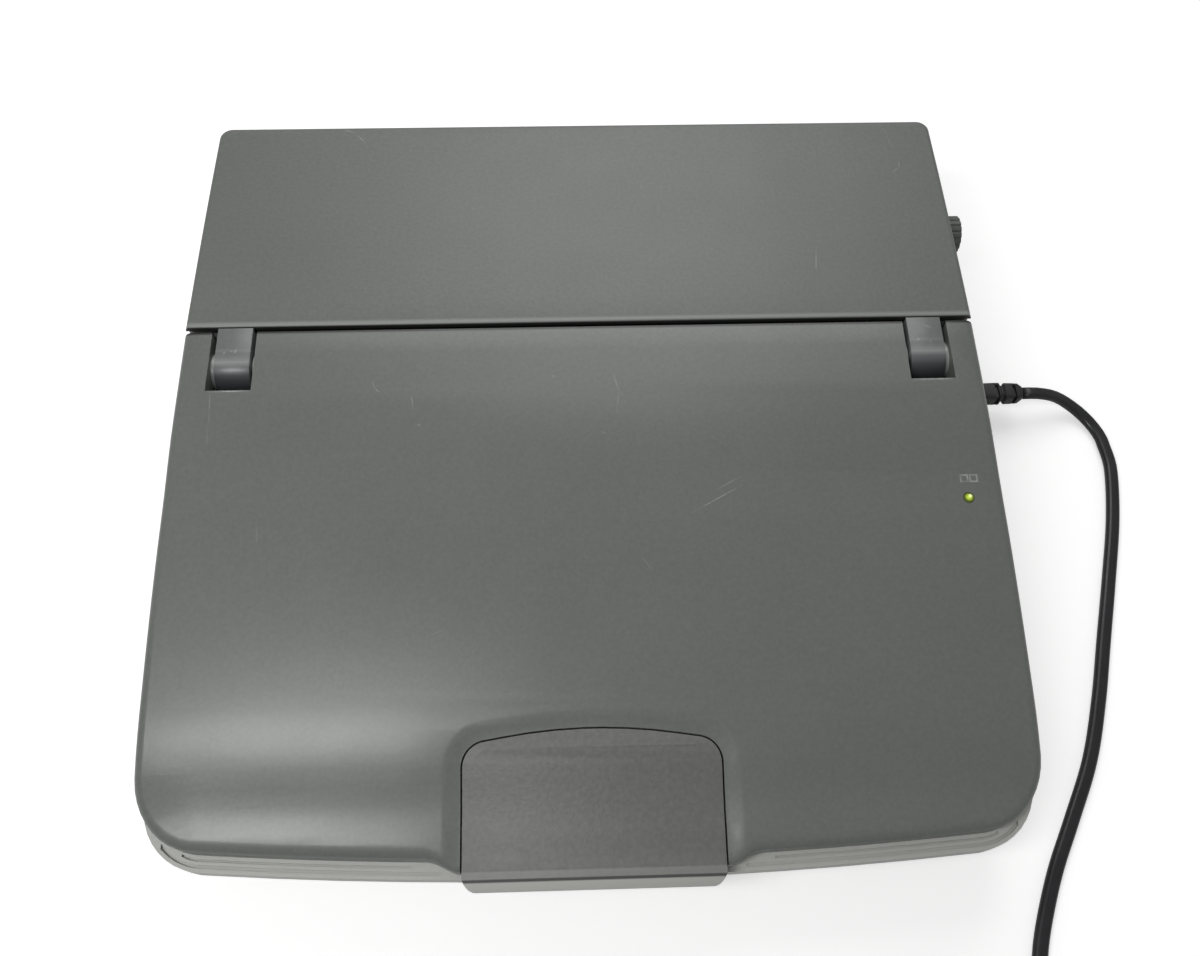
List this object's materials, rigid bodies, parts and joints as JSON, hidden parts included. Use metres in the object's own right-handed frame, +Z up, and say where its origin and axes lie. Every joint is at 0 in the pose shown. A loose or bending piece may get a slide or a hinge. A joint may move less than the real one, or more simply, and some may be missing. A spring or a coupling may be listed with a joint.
{
  "type": "electronic word processor",
  "caption": "Flat grey portable word processor with a hinged screen lid, front latch lever, rear printer cover, side paper knob and a black mains cord.",
  "frame": {"origin": "centre of the machine's footprint on the table, without the cord, its strain relief and its plug", "axes": "+X to the right of a person typing, +Y from the keyboard towards the printer, +Z up"},
  "size_m": [0.4675, 0.5151, 0.088],
  "materials": {
    "case_plastic": "fine moulded grain with a soft satin sheen",
    "bezel_plastic": "fine moulded grain",
    "latch_plastic": "coarser moulded grain",
    "hinge_plastic": "smooth and slightly glossy",
    "knob_plastic": "moulded, fluted rim",
    "lcd_glass": "grey green panel",
    "lens_plastic": "clear green, lit",
    "foot_rubber": "matt",
    "steel": "turned and plated",
    "sheet_steel": "zinc plated sheet",
    "belt_rubber": "matt",
    "gear_plastic": "moulded, unpainted",
    "platen_rubber": "ground smooth",
    "carriage_plastic": "moulded",
    "green_board": "solder mask",
    "brown_board": "paper laminate",
    "key_plastic": "fine grain, light grey",
    "cord_rubber": "smooth black sheath",
    "blade_brass": "plated"
  },
  "bodies": {
    "base": {"bottom_case": "case_plastic", "upper_case": "case_plastic", "left_hinge_arm": "hinge_plastic", "right_hinge_arm": "hinge_plastic", "foot_left_rear": "foot_rubber", "foot_left_front": "foot_rubber", "foot_right_rear": "foot_rubber", "foot_right_front": "foot_rubber", "case_screw_left_rear": "steel", "case_screw_left_front": "steel", "case_screw_right_rear": "steel", "case_screw_right_front": "steel", "left_cover_pin": "steel", "right_cover_pin": "steel", "printer_chassis": "sheet_steel", "carriage_rod": "steel", "paper_bail": "steel", "carriage_belt": "belt_rubber", "carriage_motor": "sheet_steel", "feed_motor": "sheet_steel", "belt_pulley": "gear_plastic", "main_circuit_board": "green_board", "power_supply_board": "brown_board", "floppy_drive": "sheet_steel", "key_plate": "sheet_steel", "key_row_1": "key_plastic", "key_row_2": "key_plastic", "key_row_3": "key_plastic", "key_row_4": "key_plastic", "bottom_left_keys": "key_plastic", "bottom_right_keys": "key_plastic", "strain_relief": "cord_rubber", "cord_lead": "cord_rubber", "cord_coil": "cord_rubber", "plug_body": "cord_rubber", "plug_blade_front": "blade_brass", "plug_blade_rear": "blade_brass"},
    "lid": {"lid_shell": "case_plastic", "display_bezel": "bezel_plastic", "lcd_panel": "lcd_glass", "indicator_lens": "lens_plastic", "left_lid_pin": "steel", "right_lid_pin": "steel", "latch_pin": "steel"},
    "latch": {"latch_lever": "latch_plastic"},
    "cover": {"printer_cover": "case_plastic"},
    "platen": {"platen_roller": "platen_rubber", "platen_gear": "gear_plastic", "platen_knob": "knob_plastic"},
    "pinion": {"feed_pinion": "gear_plastic"},
    "carriage": {"print_carriage": "carriage_plastic", "ribbon_cassette": "carriage_plastic"},
    "space": {"space_bar": "key_plastic"},
    "enter": {"enter_key": "key_plastic"},
    "left_shift": {"left_shift_key": "key_plastic"},
    "right_shift": {"right_shift_key": "key_plastic"},
    "eject": {"eject_button": "key_plastic"},
    "switch": {"power_switch": "key_plastic"},
    "dial": {"contrast_dial": "key_plastic"}
  },
  "joints": [
    {"name": "lid_hinge", "type": "hinge", "parent": "base", "child": "lid", "pos_m": [-0.00675, 0.04255, 0.0755], "axis": [-1, 0, 0], "range_deg": [0, 100]},
    {"name": "latch_pivot", "type": "hinge", "parent": "lid", "child": "latch", "pos_m": [-0.00675, -0.13255, 0.06083], "axis": [-1, 0, 0], "range_deg": [0, 8], "stiffness_Nm_per_rad": 0.08, "springref_deg": -22.92},
    {"name": "cover_hinge", "type": "hinge", "parent": "base", "child": "cover", "pos_m": [-0.00675, 0.17995, 0.0723], "axis": [-1, 0, 0], "range_deg": [0, 90]},
    {"name": "platen_spin", "type": "hinge", "parent": "base", "child": "platen", "pos_m": [0, 0.13105, 0.0595], "axis": [1, 0, 0], "continuous": true},
    {"name": "pinion_spin", "type": "hinge", "parent": "base", "child": "pinion", "pos_m": [0.13625, 0.14005, 0.0475], "axis": [1, 0, 0], "continuous": true},
    {"name": "carriage_slide", "type": "slide", "parent": "base", "child": "carriage", "axis": [1, 0, 0], "range_m": [-0.105, 0.105]},
    {"name": "space_press", "type": "slide", "parent": "base", "child": "space", "axis": [0, 0, -1], "range_m": [0, 0.003], "stiffness_N_per_m": 160, "springref_m": -0.003},
    {"name": "enter_press", "type": "slide", "parent": "base", "child": "enter", "axis": [0, 0, -1], "range_m": [0, 0.003], "stiffness_N_per_m": 120, "springref_m": -0.003},
    {"name": "left_shift_press", "type": "slide", "parent": "base", "child": "left_shift", "axis": [0, 0, -1], "range_m": [0, 0.003], "stiffness_N_per_m": 120, "springref_m": -0.003},
    {"name": "right_shift_press", "type": "slide", "parent": "base", "child": "right_shift", "axis": [0, 0, -1], "range_m": [0, 0.003], "stiffness_N_per_m": 120, "springref_m": -0.003},
    {"name": "eject_press", "type": "slide", "parent": "base", "child": "eject", "axis": [-1, 0, 0], "range_m": [0, 0.003], "stiffness_N_per_m": 100, "springref_m": -0.003},
    {"name": "power_slide", "type": "slide", "parent": "base", "child": "switch", "axis": [1, 0, 0], "range_m": [0, 0.004]},
    {"name": "contrast_turn", "type": "hinge", "parent": "base", "child": "dial", "pos_m": [0.10525, -0.00295, 0.04833], "axis": [1, 0, 0], "range_deg": [-135, 135]}
  ],
  "couplings": [
    {"joint": "pinion_spin", "follows": "platen_spin", "ratio": -2}
  ]
}
